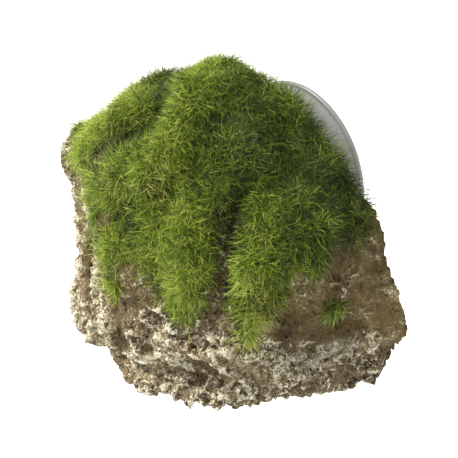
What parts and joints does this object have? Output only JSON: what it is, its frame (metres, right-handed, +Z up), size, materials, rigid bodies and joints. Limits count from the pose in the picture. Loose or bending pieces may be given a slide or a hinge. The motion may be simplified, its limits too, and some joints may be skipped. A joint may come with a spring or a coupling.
{
  "type": "aquarium moss rock ornament",
  "caption": "Hollow cast resin rock with a flocked moss cover, hung on aquarium glass by a suction cup on a swivel stud.",
  "frame": {"origin": "centre of the suction cup's rim plane, which lies on the glass", "axes": "+Y into the glass, -Y the front of the rock, +X right seen from the front, +Z up"},
  "size_m": [0.1028, 0.069, 0.0828],
  "materials": {
    "clear_pvc": "gloss",
    "stud_plastic": "satin",
    "bush_plastic": "satin",
    "plate_resin": "matte",
    "epoxy": "satin",
    "rock_resin": "matte",
    "flock_adhesive": "matte",
    "moss_flock": "matte"
  },
  "bodies": {
    "cup": {"suction_cup": "clear_pvc"},
    "stud": {"swivel_stud": "stud_plastic"},
    "rock": {"rock_shell": "rock_resin", "back_plate": "plate_resin", "plate_glue_bead": "epoxy", "socket_bush": "bush_plastic", "moss_glue": "flock_adhesive", "moss_mat": "moss_flock", "tuft_glue": "flock_adhesive", "moss_tuft": "moss_flock"}
  },
  "joints": [
    {"name": "cup_press", "type": "slide", "parent": "cup", "child": "stud", "axis": [0, 1, 0], "range_m": [0, 0.004], "stiffness_N_per_m": 2000, "deforming": ["suction_cup"]},
    {"name": "rock_turn", "type": "hinge", "parent": "stud", "child": "rock", "pos_m": [0, 0, 0], "axis": [0, 1, 0], "continuous": true}
  ]
}
